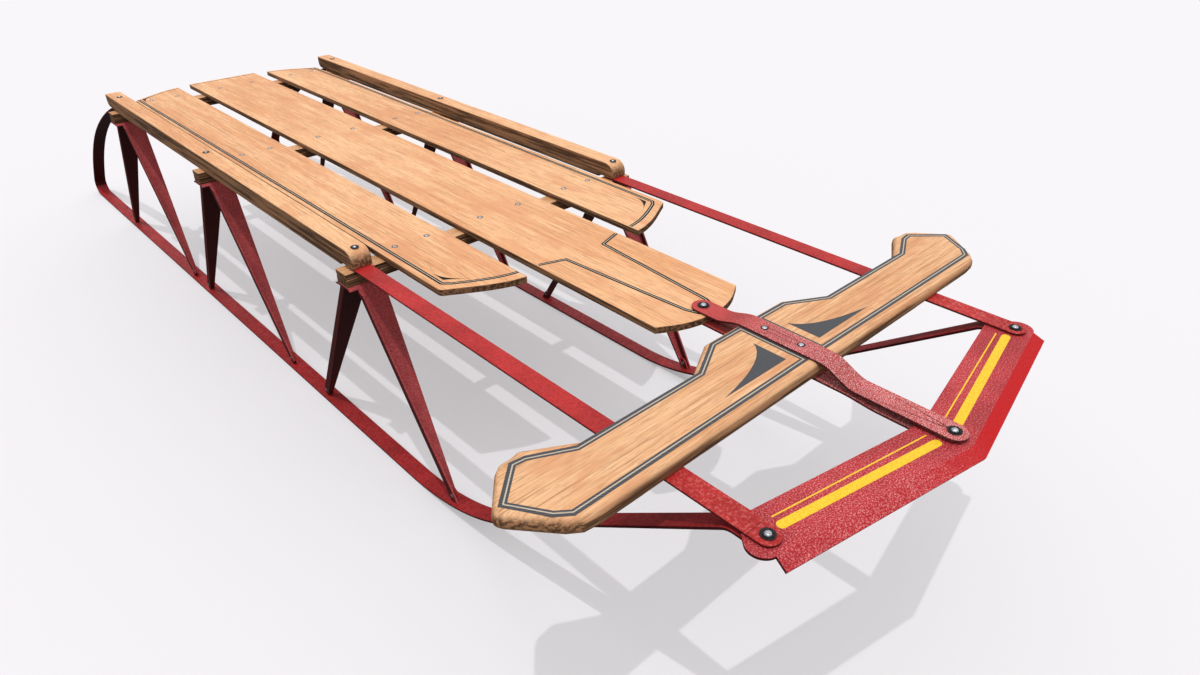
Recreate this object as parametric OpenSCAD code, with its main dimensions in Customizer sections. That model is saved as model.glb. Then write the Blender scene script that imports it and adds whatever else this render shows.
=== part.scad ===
/* [Sled] */
// Height of the side rails' top face above the snow
rail_top_z = 230; // [215:1:245]
// Distance from the front bench to the middle bench
middle_bench_y = 341; // [320:1:360]
// Distance from the front bench to the rear bench
rear_bench_y = 650; // [630:1:670]
// Distance from the centreline to the runners, side bars and rail rivets
track_x = 160; // [150:1:170]

/* [Deck] */
// Thickness of the three deck boards
board_t = 6.5; // [5:0.5:8]
// Width of the centre board
centre_board_w = 100; // [90:1:106]
// Distance from the centreline to a side board's inner edge
side_board_x0 = 68.5; // [64:0.5:72]
// Distance from the centreline to a side board's outer edge
side_board_x1 = 138; // [130:0.5:142]
// Width of a side rail
rail_w = 20; // [18:0.5:22]
// Thickness of a side rail
rail_t = 19; // [17:0.5:21]
// Radius of the rail's rounded front end
rail_nose_r = 12; // [8:0.5:14]
// Size of a bench along the sled
bench_w = 18; // [16:1:20]
// Height of a bench
bench_t = 13; // [11:0.5:15]
// Length of a bench, from end to end across the sled
bench_l = 355; // [345:1:362]

/* [Steel] */
// Width of the runners and side bars
strip_w = 17; // [15:0.5:18]
// Thickness of the runners
runner_t = 2.5; // [2:0.25:3]
// Thickness of the straps, side bars, standards and bumper
steel_t = 2; // [1.5:0.25:2]
// Width of the two steering straps
strap_w = 19; // [18:0.5:21]
// Gap left between pieces that move past each other
gap = 0.3; // [0.3:0.05:0.35]

/* [Standards] */
// Half the spread of a standard's feet, measured to the inside of the legs
foot_spread = 125; // [110:1:125]
// Width of a leg's web at the bench
web_top_w = 26; // [22:1:28]
// Width of a leg's web at the runner
web_foot_w = 5; // [4.5:0.5:8]
// Width of a leg's side flange at the bench
flange_top_w = 14; // [12:0.5:15]
// Width of a leg's side flange at the runner
flange_foot_w = 10; // [9.5:0.5:12]

/* [Runner] */
// Radius of the tight turn where the tail's sweep meets the snow
heel_r = 13.5; // [10:0.5:16]
// Radius of the curve where the runner rises at the front
rise_r = 277; // [270:1:285]
// Angle at which the runner rises to the bumper
rise_angle = 35.6; // [35:0.1:36]

/* [Steering] */
// Thickness of the wooden steering bar
bar_t = 12.8; // [12:0.1:13]
// Half the length of the steering bar, centreline to tip
bar_half_l = 268; // [255:1:280]
// Depth of the bumper plate, back to front
bumper_w = 34; // [32:1:36]

/* [Hidden] */
$fn = 64;

// Y is measured from the front bench while a piece is drawn, +Y towards the tail.
front_bench_y = 0;
benches = [front_bench_y, middle_bench_y, rear_bench_y];

// Heights, from the snow up
bench_top_z = rail_top_z - rail_t;
bench_z = bench_top_z - bench_t;
plate_z = bench_z - steel_t;
deck_top_z = bench_top_z + board_t;
side_bar_z = bench_top_z + gap;
bumper_z = bench_top_z - steel_t;
nose_end_z = bumper_z - gap - runner_t;
lower_strap_z = bench_top_z - gap - steel_t;
lower_strap_front_z = bumper_z - gap - steel_t;
bar_z = bench_top_z - gap;
bar_top_z = bar_z + bar_t;
upper_strap_rear_z = deck_top_z + gap;
spacer_t = 2;
upper_strap_front_z = bench_top_z + spacer_t + gap;

// Places along the sled
board_nose_y = -129.5;
board_tail_y = 696;
centre_tail_y = 702;
centre_nose_y = -281;
rail_front_y = -10;
rail_rear_y = 681;
strap_pivot_y = -270;
bumper_pivot_y = -483;
bar_rivet_ys = [-330, -363];
corner_y = -454;
bar_rear_y = -330.5;
bar_front_y = -385;
nose_hinge_y = -140;
rise_start_y = -55;

// Fasteners
deck_rivet_xs = [24, 86.5, 121];
deck_rivet_r = 2;
rail_rivet_r = 2.2;
pivot_r = 2.4;
fit = 0.06;
rattle = 1.5;

// Steering bar outline
bar_shoulder_y = -310.5;
bar_shoulder_x = 47;
bar_waist_x = 83;
pad_start_x = 188;
pad_rear_x = [223, 239];
pad_rear_y = -312.5;
pad_tip_y = -344;
pad_front_x = 234;
bar_round_r = 5;
relief_w = 54;
relief_h = side_bar_z + steel_t + 0.5 - bar_z;

// Bumper
bumper_sweep = 10.5;
bumper_apex_y = -462;
corner_tab_r = 11;
corner_tab = [1, -23.3];
lip_l = 9.3;
lip_drop = 4.5;

// Standards
leg_top_half = 11;
leg_bend_r = 5;
leg_top_x = track_x + 10;
leg_foot_x = track_x + 4;
leg_skin = 1.2;
leg_slope = atan((foot_spread + leg_skin - leg_top_half) / (plate_z + steel_t / 2 - runner_t));
leg_bend_start = leg_top_half - leg_bend_r * tan((90 - leg_slope) / 2);
flange_tip_h = 5;
lug_h = 13;
lug_inset = [3, 9];
foot_rivet_h = 7;
foot_rivet_inset = 5.6;
foot_rivet_r = 1.2;

// ---- Bent strips ----

// Points along a bend that starts at p with heading a0 and turns to heading a1, as [y, z, heading].
function bend(p, a0, a1, r, n = 16) =
    let (s = a1 > a0 ? 1 : -1, c = [p[0] - s * r * sin(a0), p[1] + s * r * cos(a0)])
    [for (i = [0 : n]) let (a = a0 + (a1 - a0) * i / n) [c[0] + s * r * sin(a), c[1] - s * r * cos(a), a]];

// A point d further on from the last point of a path, in the same heading.
function ahead(path, d) =
    let (q = path[len(path) - 1]) [q[0] + d * cos(q[2]), q[1] + d * sin(q[2]), q[2]];

function last(path) = path[len(path) - 1];

// The outline of a strip of thickness t that follows a path.
function strip_outline(path, t) = concat(
    [for (q = path) [q[0] - sin(q[2]) * t / 2, q[1] + cos(q[2]) * t / 2]],
    [for (i = [len(path) - 1 : -1 : 0])
        let (q = path[i]) [q[0] + sin(q[2]) * t / 2, q[1] - cos(q[2]) * t / 2]]);

// A smooth step of a strap, from height z0 at y0 to height z1 at y1.
function joggle(y0, z0, y1, z1, n = 10) =
    [for (i = [0 : n])
        let (u = i / n, w = u * u * (3 - 2 * u), slope = 6 * u * (1 - u) * (z1 - z0) / (y1 - y0))
        [y0 + u * (y1 - y0), z0 + w * (z1 - z0), 180 + atan(slope)]];

function arc_points(c, r, a0, a1, n) =
    [for (i = [0 : n]) let (a = a0 + (a1 - a0) * i / n) c + r * [cos(a), sin(a)]];

// ---- The runner's path, from its end on the rear bench, round the tail and up to the bumper ----

// The sweep starts gently and tightens to two thirds of its first radius.
tail_angle = 18.5;
mid_tail_angle = 29;
heel_angle = 51;
first_to_second = 1.5;
tail_bend_r = 20;
runner_mid_z = runner_t / 2;
tail_start = [rear_bench_y + 16, bench_top_z + runner_mid_z];
tail_bend = bend(tail_start, 0, -tail_angle, tail_bend_r, 4);
sweep_drop = last(tail_bend)[1] - runner_mid_z - heel_r * (1 + cos(heel_angle));
tail_r = sweep_drop / (first_to_second * (cos(tail_angle) - cos(mid_tail_angle))
    + cos(mid_tail_angle) - cos(heel_angle));
tail_start_sweep = bend(last(tail_bend), -tail_angle, -mid_tail_angle, tail_r * first_to_second, 8);
tail_sweep = bend(last(tail_start_sweep), -mid_tail_angle, -heel_angle, tail_r, 12);
heel = bend(last(tail_sweep), -heel_angle, -180, heel_r, 14);
rise = bend([rise_start_y, runner_mid_z], -180, -180 - rise_angle, rise_r, 14);
nose_bend_r = 15;
nose_mid_z = nose_end_z + runner_t / 2;
nose_bend_rise = nose_bend_r * (1 - cos(rise_angle));
nose_straight = (nose_mid_z - nose_bend_rise - last(rise)[1]) / sin(rise_angle);
nose_top = ahead(rise, nose_straight);
nose_bend = bend(nose_top, -180 - rise_angle, -180, nose_bend_r, 5);
nose_end = [corner_y - strip_w / 2, nose_mid_z, -180];
runner_path = concat([[rear_bench_y - 9, tail_start[1], 0]], tail_bend, tail_start_sweep, tail_sweep,
    heel, rise, [nose_top], nose_bend, [nose_end]);

// The whole sled is centred between the tail of its runners and the tip of its bumper.
tail_y = last(tail_sweep)[0] + heel_r * (1 - sin(heel_angle)) + runner_t / 2;
tip_y = bumper_apex_y - (bumper_w + lip_l) / cos(bumper_sweep);
mid_y = (tail_y + tip_y) / 2;

module placed() {
    translate([0, -mid_y, 0]) children();
}

// Draws a left-hand piece (side = 1) or its mirror image on the right (side = -1).
module sided(side) {
    placed() mirror([side < 0 ? 1 : 0, 0, 0]) children();
}

// Extrudes a Y-Z outline across the sled.
module across(x0, x1) {
    translate([x0, 0, 0]) rotate([90, 0, 90]) linear_extrude(x1 - x0) children();
}

// Extrudes an X-Z outline along the sled.
module along(y0, y1) {
    translate([0, y1, 0]) rotate([90, 0, 0]) linear_extrude(y1 - y0) children();
}

module hole(x, y, z0, z1, r) {
    translate([x, y, z0 - 1]) cylinder(h = z1 - z0 + 2, r = r);
}

// A domed rivet: its head, [radius, height], stands on z_head and its clenched tail hangs under z_tail.
module rivet(z_head, z_tail, r, head) {
    head_r = head[0];
    head_h = head[1];
    ball_r = (head_r * head_r + head_h * head_h) / (2 * head_h);
    intersection() {
        translate([0, 0, z_head + head_h - ball_r]) sphere(r = ball_r);
        translate([0, 0, z_head]) cylinder(h = head_h + 1, r = head_r);
    }
    translate([0, 0, z_tail - 0.2]) cylinder(h = z_head - z_tail + 0.4, r = r);
    translate([0, 0, z_tail - head_h]) cylinder(h = head_h, r = r * 1.45);
}

module washer(z, r_in, r_out, t) {
    difference() {
        translate([0, 0, z]) cylinder(h = t, r = r_out);
        translate([0, 0, z - 1]) cylinder(h = t + 2, r = r_in);
    }
}

// ---- Deck ----

module deck_rivet_holes(z0, z1) {
    for (y = benches, x = deck_rivet_xs, s = [-1, 1]) hole(s * x, y, z0, z1, deck_rivet_r + fit);
}

board_w = side_board_x1 - side_board_x0;
end_fall = 33;
end_steps = 8;

// One curved end of a side board, as points from the inner edge outwards. It falls back at the outer edge.
function board_end(y, s) =
    [for (i = [0 : end_steps]) let (u = i / end_steps)
        [side_board_x0 + u * (board_w - 1.5),
         y - s * end_fall * (0.25 * u + 0.9 * u * u - 0.24 * pow(u, 4))]];

module side_board(side) {
    front = board_end(board_nose_y, -1);
    rear = board_end(board_tail_y, 1);
    outline = concat(front,
        [[side_board_x1, front[end_steps][1] + 3], [side_board_x1, rear[end_steps][1] - 3]],
        [for (i = [end_steps : -1 : 0]) rear[i]]);
    color("burlywood") difference() {
        sided(side) translate([0, 0, bench_top_z]) linear_extrude(board_t) polygon(outline);
        placed() deck_rivet_holes(bench_top_z, deck_top_z);
    }
}

module centre_board() {
    w = centre_board_w / 2;
    nose_r = 78;
    outline = concat(
        [[-w, centre_tail_y], [-w, centre_nose_y + 17]],
        arc_points([0, centre_nose_y + nose_r], nose_r, -90 - 33, -90 + 33, 12),
        [[w, centre_nose_y + 17], [w, centre_tail_y]]);
    color("burlywood") placed() difference() {
        translate([0, 0, bench_top_z]) linear_extrude(board_t) polygon(outline);
        deck_rivet_holes(bench_top_z, deck_top_z);
        hole(0, strap_pivot_y, bench_top_z, deck_top_z, pivot_r + fit);
    }
}

// The rail stands on the benches. Its underside is cut away over the side bar in front
// and over the end of the runner at the tail.
module side_rail(side) {
    x0 = track_x - rail_w / 2;
    tail_r2 = 8;
    bar_room = side_bar_z + steel_t + gap;
    tail_room = bench_top_z + runner_t + 0.1;
    outline = concat(
        arc_points([rail_front_y + rail_nose_r, rail_top_z - rail_nose_r], rail_nose_r, 180, 90, 10),
        [[rail_rear_y, rail_top_z]],
        arc_points([rail_rear_y - tail_r2, tail_room + tail_r2], tail_r2, 0, -90, 6),
        [[rear_bench_y - 12, tail_room], [rear_bench_y - 12, bench_top_z],
         [13, bench_top_z], [13, bar_room], [rail_front_y, bar_room]]);
    color("burlywood") sided(side) difference() {
        across(x0, x0 + rail_w) polygon(outline);
        for (y = benches) hole(track_x, y, bench_top_z, rail_top_z, rail_rivet_r + fit);
    }
}

// Each bench is one hardwood bar with a shallow groove along both of its sides.
module bench(y) {
    groove_h = 1.2;
    groove_d = 0.8;
    color("peru") placed() difference() {
        translate([-bench_l / 2, y - bench_w / 2, bench_z]) cube([bench_l, bench_w, bench_t]);
        for (s = [-1, 1])
            translate([-bench_l / 2 - 1, y + s * bench_w / 2 - groove_d, bench_z + bench_t * 0.55])
                cube([bench_l + 2, 2 * groove_d, groove_h]);
        for (s = [-1, 1]) hole(s * track_x, y, bench_z, bench_top_z, rail_rivet_r + fit);
        deck_rivet_holes(bench_z, bench_top_z);
    }
}

// ---- Standards ----

// One web strip folded over the bench plate into two splayed legs, seen from the side.
module leg_strip() {
    half_bend = bend([leg_bend_start, plate_z + steel_t / 2], 0, leg_slope - 90, leg_bend_r, 6);
    leg_end = ahead(half_bend, last(half_bend)[1] / cos(leg_slope));
    half = concat([[0, plate_z + steel_t / 2, 0]], half_bend, [leg_end]);
    polygon(strip_outline(half, steel_t));
    mirror([1, 0]) polygon(strip_outline(half, steel_t));
}

// Outline of the strip seen from the front: the bench plate and the tapering leg under it.
module leg_front_outline() {
    plate_x1 = bench_l / 2 + 0.5;
    plate_x0 = leg_top_x - web_top_w - 4;
    polygon([[plate_x0, plate_z - 0.4], [plate_x0, plate_z + steel_t + 1], [plate_x1, plate_z + steel_t + 1],
        [plate_x1, plate_z - 0.4], [leg_top_x, plate_z - 0.4], [leg_foot_x, -1],
        [leg_foot_x - web_foot_w, -1], [leg_top_x - web_top_w, plate_z - 0.4]]);
}

// A point d outside the inner face of a leg, at height z.
function leg_y(z, d) = foot_spread - (z - runner_t) * tan(leg_slope) + d;

// A leg's flange, turned outwards from the V along the web's outer edge.
module leg_flange() {
    top_z = plate_z - 3;
    tip_z = runner_t + flange_tip_h;
    lean = atan((leg_top_x - leg_foot_x) / plate_z);
    translate([leg_foot_x, 0, 0]) rotate([0, lean, 0]) across(-steel_t, 0)
        polygon([[leg_y(top_z, 0), top_z], [leg_y(top_z, flange_top_w * 0.55), top_z - 1],
            [leg_y(top_z, flange_top_w), top_z - 12], [leg_y(tip_z, flange_foot_w), tip_z],
            [leg_y(runner_t, flange_foot_w * 0.4), runner_t - 0.1], [leg_y(runner_t, 0), runner_t - 0.1]]);
}

// The space under the runner's top face, where no leg may reach.
module under_runner() {
    top = [for (q = rise) [q[0] + sin(q[2]) * runner_t / 2, q[1] - cos(q[2]) * runner_t / 2]];
    across(track_x - strip_w, track_x + strip_w)
        polygon(concat([[1200, -10], [1200, runner_t], [0, runner_t]], top, [[last(top)[0], -10]]));
}

module standard(side, y) {
    color("firebrick") sided(side) difference() {
        translate([0, y, 0]) {
            intersection() {
                across(0, bench_l) leg_strip();
                along(-foot_spread - 20, foot_spread + 20) leg_front_outline();
            }
            leg_flange();
            mirror([0, 1, 0]) leg_flange();
        }
        under_runner();
        hole(track_x, y, plate_z, bench_z, rail_rivet_r + fit);
        for (s = [-1, 1]) foot_rivet_hole(y, s);
    }
}

// Height of the runner's top face at a place along the sled.
function snow_face_z(y) =
    y > rise_start_y ? runner_t : runner_t + rise_r - sqrt(rise_r * rise_r - pow(rise_start_y - y, 2));

// Height at which the leg on side s of bench y meets the runner, found in two steps.
function foot_z(y, s) =
    let (z1 = snow_face_z(y + s * leg_y(runner_t, lug_inset[0])))
    snow_face_z(y + s * leg_y(z1, lug_inset[0]));

// Centre of a foot rivet, as [y, z].
function foot_rivet(y, s) =
    let (z = foot_z(y, s) + foot_rivet_h) [y + s * leg_y(z, foot_rivet_inset), z];

module foot_rivet_hole(y, s) {
    at = foot_rivet(y, s);
    translate([leg_foot_x - 8, at[0], at[1]]) rotate([0, 90, 0]) cylinder(h = 16, r = foot_rivet_r + fit);
}

// A small upright lug on the runner, close behind a leg's flange and outside its web.
module lug(y, s) {
    z0 = foot_z(y, s) - 1.5;
    z1 = z0 + lug_h;
    translate([0, y, 0]) mirror([0, s < 0 ? 1 : 0, 0]) across(leg_foot_x - 5.2, leg_foot_x - 2.5)
        polygon([[leg_y(z0, lug_inset[0]), z0], [leg_y(z0, lug_inset[1]), z0],
            [leg_y(z1, lug_inset[1]), z1], [leg_y(z1, lug_inset[0]), z1]]);
}

// ---- Runners and side bars ----

// The whole runner in one piece: a flat strip bent round the tail and up to the bumper,
// with a small upright lug behind each foot.
module whole_runner() {
    across(track_x - strip_w / 2, track_x + strip_w / 2) polygon(strip_outline(runner_path, runner_t));
    for (y = benches, s = [-1, 1]) lug(y, s);
}

// The runner bends sideways when the sled is steered, so it is divided at a round joint
// just ahead of the front standard.
module runner(side) {
    color("crimson") sided(side) difference() {
        intersection() {
            whole_runner();
            union() {
                translate([0, nose_hinge_y, -1]) cube([300, 1200, rail_top_z]);
                translate([track_x, nose_hinge_y, -1]) cylinder(h = 40, r = strip_w / 2);
            }
        }
        hole(track_x, rear_bench_y, bench_top_z, bench_top_z + runner_t, rail_rivet_r + fit);
        for (y = benches, s = [-1, 1]) foot_rivet_hole(y, s);
    }
}

module runner_nose(side) {
    color("crimson") sided(side) difference() {
        intersection() {
            across(track_x - strip_w / 2, track_x + strip_w / 2)
                polygon(strip_outline(runner_path, runner_t));
            union() {
                translate([track_x - 50, corner_y, -1]) cube([100, nose_hinge_y - corner_y, rail_top_z]);
                translate([track_x, corner_y, -1]) cylinder(h = rail_top_z, r = strip_w / 2);
            }
        }
        translate([track_x, nose_hinge_y, -2]) cylinder(h = 50, r = strip_w / 2 + gap + 0.05);
        hole(track_x, corner_y, nose_end_z, nose_end_z + runner_t, pivot_r + rattle);
    }
}

module side_bar(side) {
    color("red") sided(side) difference() {
        translate([0, 0, side_bar_z]) linear_extrude(steel_t) {
            translate([track_x - strip_w / 2, corner_y]) square([strip_w, -corner_y]);
            for (y = [0, corner_y]) translate([track_x, y]) circle(r = strip_w / 2);
        }
        hole(track_x, 0, side_bar_z, side_bar_z + steel_t, rail_rivet_r + fit);
        hole(track_x, corner_y, side_bar_z, side_bar_z + steel_t, pivot_r + rattle);
    }
}

// ---- Steering ----

module strap(path, rear_y) {
    difference() {
        intersection() {
            across(-strap_w / 2, strap_w / 2) polygon(strip_outline(path, steel_t));
            linear_extrude(rail_top_z + 10) {
                translate([-strap_w / 2, bumper_pivot_y]) square([strap_w, rear_y - bumper_pivot_y]);
                for (y = [rear_y, bumper_pivot_y]) translate([0, y]) circle(r = strap_w / 2);
            }
        }
        hole(0, strap_pivot_y, 0, rail_top_z, pivot_r + fit);
        hole(0, bumper_pivot_y, 0, rail_top_z, pivot_r + fit);
        for (y = bar_rivet_ys) hole(0, y, 0, rail_top_z, rail_rivet_r + fit);
    }
}

// The upper strap steps up from the deck onto the steering bar and down onto the bumper.
module strap_upper() {
    h = steel_t / 2;
    path = concat(
        [[strap_pivot_y + strap_w, upper_strap_rear_z + h, 180]],
        joggle(-289, upper_strap_rear_z + h, -315, bar_top_z + h),
        joggle(-385, bar_top_z + h, -415, upper_strap_front_z + h),
        [[bumper_pivot_y - strap_w, upper_strap_front_z + h, 180]]);
    color("red") placed() strap(path, strap_pivot_y);
}

// The lower strap runs under the centre board and the steering bar, then under the bumper.
module strap_lower() {
    h = steel_t / 2;
    path = concat(
        [[strap_pivot_y + strap_w, lower_strap_z + h, 180]],
        joggle(-405, lower_strap_z + h, -435, lower_strap_front_z + h),
        [[bumper_pivot_y - strap_w, lower_strap_front_z + h, 180]]);
    color("red") placed() strap(path, strap_pivot_y);
}

module bar_outline() {
    half = concat(
        [[0, bar_shoulder_y], [bar_shoulder_x, bar_shoulder_y], [bar_waist_x, bar_rear_y],
         [pad_start_x, bar_rear_y], [pad_rear_x[0], pad_rear_y + 2], [pad_rear_x[0] + 8, pad_rear_y],
         [pad_rear_x[1], pad_rear_y], [pad_rear_x[1] + 7, pad_rear_y - 5],
         [bar_half_l - 3, pad_tip_y + 4], [bar_half_l, pad_tip_y], [bar_half_l - 3, pad_tip_y - 6],
         [pad_front_x + 8, bar_front_y + 8], [pad_front_x - 1, bar_front_y + 1.5],
         [pad_front_x - 14, bar_front_y], [0, bar_front_y]]);
    polygon(half);
    mirror([1, 0]) polygon(half);
}

// Half the outline of a ball, used to round the steering bar's edges.
module round_profile() {
    polygon([for (a = [-90 : 22.5 : 90]) bar_round_r * [cos(a), sin(a)]]);
}

// The wooden bar has rounded edges. Two shallow cuts underneath clear the side bars.
module steering_bar() {
    color("burlywood") placed() difference() {
        translate([0, 0, bar_z + bar_round_r]) minkowski() {
            linear_extrude(bar_t - 2 * bar_round_r) offset(delta = -bar_round_r) bar_outline();
            rotate_extrude($fn = 24) round_profile();
        }
        for (s = [-1, 1])
            translate([s * track_x - relief_w / 2, bar_front_y - 1, bar_z - 1])
                cube([relief_w, bar_shoulder_y - bar_front_y + 2, relief_h + 1]);
        for (y = bar_rivet_ys) hole(0, y, bar_z, bar_top_z, rail_rivet_r + fit);
    }
}

// Half of the bumper: a swept plate with a rounded corner tab and a lip sloping down in front.
module half_bumper() {
    reach = track_x / cos(bumper_sweep);
    tab = [reach + corner_tab[0], corner_tab[1]];
    tab_edge = tab + corner_tab_r * [cos(30), sin(30)];
    intersection() {
        translate([0, bumper_apex_y, bumper_z]) rotate([0, 0, bumper_sweep]) union() {
            linear_extrude(steel_t) {
                polygon([[-40, 0], [reach, 0], tab_edge, tab, [tab[0], -bumper_w], [-40, -bumper_w]]);
                translate(tab) circle(r = corner_tab_r);
            }
            across(-40, reach + 1.5) polygon([[-bumper_w + 0.5, steel_t], [-bumper_w, steel_t],
                [-bumper_w - lip_l, steel_t - lip_drop], [-bumper_w - lip_l + 0.8, -lip_drop + 0.2],
                [-bumper_w + 0.5, 0]]);
        }
        translate([0, -700, 0]) cube([300, 600, 300]);
    }
}

module bumper() {
    color("firebrick") placed() difference() {
        union() {
            half_bumper();
            mirror([1, 0, 0]) half_bumper();
        }
        hole(0, bumper_pivot_y, bumper_z, bumper_z + steel_t, pivot_r + fit);
        for (s = [-1, 1]) hole(s * track_x, corner_y, bumper_z, bumper_z + steel_t, pivot_r + fit);
    }
}

// ---- Fasteners ----

burr_t = 0.8;
deck_head = [2.9, 0.6];
rail_head = [3.8, 1.2];
bar_head = [3, 1.1];
pivot_head = [3.8, 1.5];
foot_head = [2.2, 0.6];
washer_t = 0.5;
washer_r = 4.9;
lift = 0.1;

module deck_rivets() {
    color("silver") placed() for (y = benches, x = deck_rivet_xs, s = [-1, 1])
        translate([s * x, y, 0]) rivet(deck_top_z, bench_z - burr_t, deck_rivet_r, deck_head);
}

module deck_rivet_burrs() {
    color("dimgray") placed() for (y = benches, x = deck_rivet_xs, s = [-1, 1])
        translate([s * x, y, 0]) washer(bench_z - burr_t, deck_rivet_r + fit, 4.2, burr_t);
}

module rail_rivets() {
    color("silver") placed() for (y = benches, s = [-1, 1])
        translate([s * track_x, y, 0]) rivet(rail_top_z, plate_z - burr_t, rail_rivet_r, rail_head);
}

module rail_rivet_burrs() {
    color("dimgray") placed() for (y = benches, s = [-1, 1])
        translate([s * track_x, y, 0]) washer(plate_z - burr_t, rail_rivet_r + fit, 4.6, burr_t);
}

module foot_rivets() {
    color("silver") placed() for (y = benches, s = [-1, 1], side = [0, 1]) {
        at = foot_rivet(y, s);
        mirror([side, 0, 0]) translate([0, at[0], at[1]]) rotate([0, 90, 0])
            rivet(leg_foot_x + foot_head[1], leg_foot_x - 5.3, foot_rivet_r, foot_head);
    }
}

module strap_pivot_rivet() {
    color("silver") placed() translate([0, strap_pivot_y, 0])
        rivet(upper_strap_rear_z + steel_t + washer_t + lift, lower_strap_z - lift, pivot_r, pivot_head);
}

module strap_pivot_washer() {
    color("dimgray") placed() translate([0, strap_pivot_y, 0])
        washer(upper_strap_rear_z + steel_t + lift, pivot_r + fit, washer_r, washer_t);
}

module bar_rivets() {
    color("silver") placed() for (y = bar_rivet_ys) translate([0, y, 0])
        rivet(bar_top_z + steel_t, lower_strap_z, rail_rivet_r, bar_head);
}

module bumper_pivot_rivet() {
    color("silver") placed() translate([0, bumper_pivot_y, 0])
        rivet(upper_strap_front_z + steel_t + washer_t + lift, lower_strap_front_z - lift,
            pivot_r, pivot_head);
}

module bumper_corner_rivets() {
    color("silver") placed() for (s = [-1, 1]) translate([s * track_x, corner_y, 0])
        rivet(side_bar_z + steel_t + washer_t + lift, nose_end_z - washer_t - lift, pivot_r, pivot_head);
}

// Thin washers under the rivet heads, and a thick one between the upper strap and the bumper.
module bumper_washers() {
    color("dimgray") placed() {
        translate([0, bumper_pivot_y, 0]) {
            washer(upper_strap_front_z + steel_t + lift, pivot_r + fit, washer_r, washer_t);
            washer(bumper_z + steel_t, pivot_r + fit, washer_r, spacer_t);
        }
        for (s = [-1, 1]) translate([s * track_x, corner_y, 0]) {
            washer(side_bar_z + steel_t + lift, pivot_r + fit, washer_r, washer_t);
            washer(nose_end_z - washer_t - lift, pivot_r + fit, washer_r, washer_t);
        }
    }
}

side_board(-1);  // deck_board_right
centre_board();  // deck_board_centre
side_board(1);  // deck_board_left
side_rail(-1);  // side_rail_right
side_rail(1);  // side_rail_left
bench(benches[0]);  // bench_front
bench(benches[1]);  // bench_middle
bench(benches[2]);  // bench_rear
standard(-1, benches[0]);  // standard_front_right
standard(1, benches[0]);  // standard_front_left
standard(-1, benches[1]);  // standard_middle_right
standard(1, benches[1]);  // standard_middle_left
standard(-1, benches[2]);  // standard_rear_right
standard(1, benches[2]);  // standard_rear_left
runner(-1);  // runner_right
runner(1);  // runner_left
runner_nose(-1);  // runner_nose_right
runner_nose(1);  // runner_nose_left
side_bar(-1);  // side_bar_right
side_bar(1);  // side_bar_left
strap_upper();
strap_lower();
steering_bar();
bumper();
deck_rivets();
deck_rivet_burrs();
rail_rivets();
rail_rivet_burrs();
foot_rivets();
strap_pivot_rivet();
strap_pivot_washer();
bar_rivets();
bumper_pivot_rivet();
bumper_corner_rivets();
bumper_washers();
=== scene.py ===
import math

import bmesh
import bpy
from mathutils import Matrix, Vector


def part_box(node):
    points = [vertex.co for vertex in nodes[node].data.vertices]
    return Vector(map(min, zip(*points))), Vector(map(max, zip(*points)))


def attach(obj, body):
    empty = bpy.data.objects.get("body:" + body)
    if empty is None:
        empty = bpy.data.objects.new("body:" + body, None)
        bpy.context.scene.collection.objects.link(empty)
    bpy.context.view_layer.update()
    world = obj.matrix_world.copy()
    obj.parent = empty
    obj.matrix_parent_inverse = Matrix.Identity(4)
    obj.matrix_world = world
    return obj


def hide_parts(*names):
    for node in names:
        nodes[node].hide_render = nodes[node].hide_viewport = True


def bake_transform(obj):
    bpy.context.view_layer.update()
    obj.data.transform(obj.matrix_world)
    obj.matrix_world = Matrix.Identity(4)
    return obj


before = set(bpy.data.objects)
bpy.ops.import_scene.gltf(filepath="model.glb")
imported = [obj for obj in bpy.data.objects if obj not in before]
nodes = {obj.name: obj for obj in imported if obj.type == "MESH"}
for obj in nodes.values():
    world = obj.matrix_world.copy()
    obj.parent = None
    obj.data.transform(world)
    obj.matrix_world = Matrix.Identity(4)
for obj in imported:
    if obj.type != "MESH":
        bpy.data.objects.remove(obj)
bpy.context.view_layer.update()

# ---- Camera ----

CAMERA_PLACE = (-0.4496, -0.8537, 0.5460)
CAMERA_TURN = (57.81, 0.0, -43.35)
CAMERA_LENS = 24.32
SENSOR_WIDTH = 36.0

camera_data = bpy.data.cameras.new("camera")
camera_data.lens = CAMERA_LENS
camera_data.sensor_width = SENSOR_WIDTH
camera_data.clip_start = 0.01
camera = bpy.data.objects.new("camera", camera_data)
camera.location = CAMERA_PLACE
camera.rotation_euler = [math.radians(a) for a in CAMERA_TURN]
bpy.context.scene.collection.objects.link(camera)
bpy.context.scene.camera = camera

# ---- Places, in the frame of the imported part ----

MM = 0.001
BOTH_SIDES = (("right", -1), ("left", 1))


def centre(node):
    """Middle of a CAD node's box."""
    low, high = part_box(node)
    return (low + high) / 2


BENCH_Y = centre("bench_front").y
BENCH_YS = [0.0] + [(centre(n).y - BENCH_Y) / MM for n in ("bench_middle", "bench_rear")]
DECK_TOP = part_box("deck_board_centre")[1].z / MM
RAIL_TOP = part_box("side_rail_left")[1].z / MM
BENCH_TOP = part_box("bench_front")[1].z / MM
BENCH_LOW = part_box("bench_front")[0].z / MM
BAR_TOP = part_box("steering_bar")[1].z / MM
SIDE_BAR_LOW, SIDE_BAR_TOP = (v.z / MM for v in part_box("side_bar_left"))
STRAP_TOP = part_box("strap_upper")[1].z / MM
TRACK_X = centre("side_bar_left").x / MM
NOSE_DROP = 4.8
NOSE_LOW = BENCH_TOP - NOSE_DROP
STRIP_W = 17.0
STRIP_T = 2.5
BUMPER_TOP = BENCH_TOP


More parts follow.
